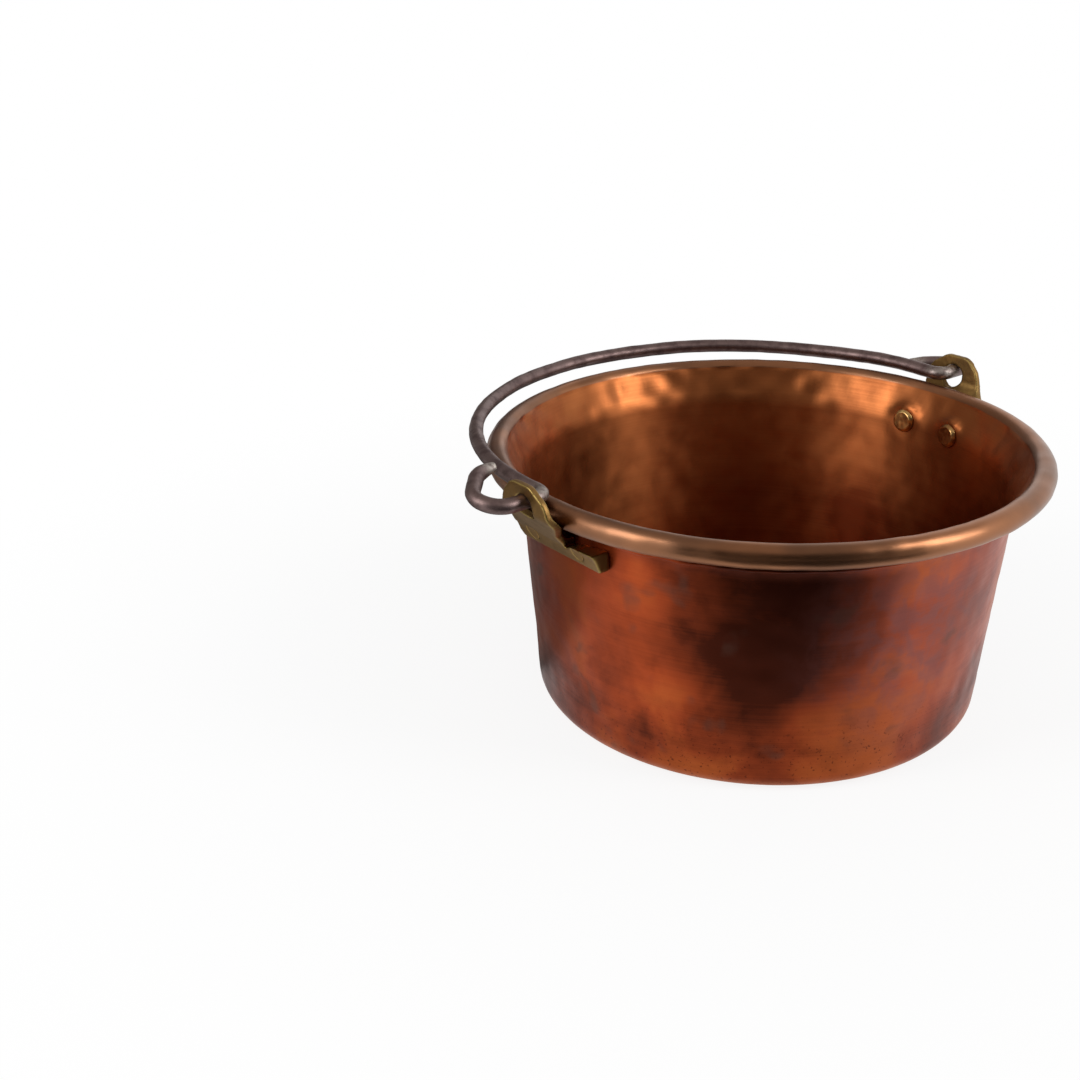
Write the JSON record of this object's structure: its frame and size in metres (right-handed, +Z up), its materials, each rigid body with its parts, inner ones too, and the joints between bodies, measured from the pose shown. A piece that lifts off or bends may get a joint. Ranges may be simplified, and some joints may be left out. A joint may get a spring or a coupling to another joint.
{
  "type": "jam pan",
  "caption": "Round flared copper jam pan with a wired rim bead, two riveted brass ears and a swinging iron bail.",
  "frame": {"origin": "on the floor under the pan's axis, at the middle of the flat bottom", "axes": "+Z up along the pan's axis; X along the bail's pivot, with the near ear at -X and the far ear at +X; the bail lies folded down towards +Y"},
  "size_m": [0.3649, 0.3143, 0.1604],
  "materials": {
    "copper": "satin worn copper",
    "wire_iron": "rough",
    "ear_brass": "aged satin",
    "rivet_brass": "satin",
    "bail_iron": "forged satin"
  },
  "bodies": {
    "pan": {"pan_body": "copper", "rim_wire": "wire_iron", "near_ear": "ear_brass", "far_ear": "ear_brass", "near_rivet_a": "rivet_brass", "near_rivet_b": "rivet_brass", "far_rivet_a": "rivet_brass", "far_rivet_b": "rivet_brass"},
    "bail": {"bail": "bail_iron"}
  },
  "joints": [
    {"name": "bail_swing", "type": "hinge", "parent": "pan", "child": "bail", "pos_m": [0, 0, 0.15001], "axis": [1, 0, 0.0072], "range_deg": [0, 180]}
  ]
}
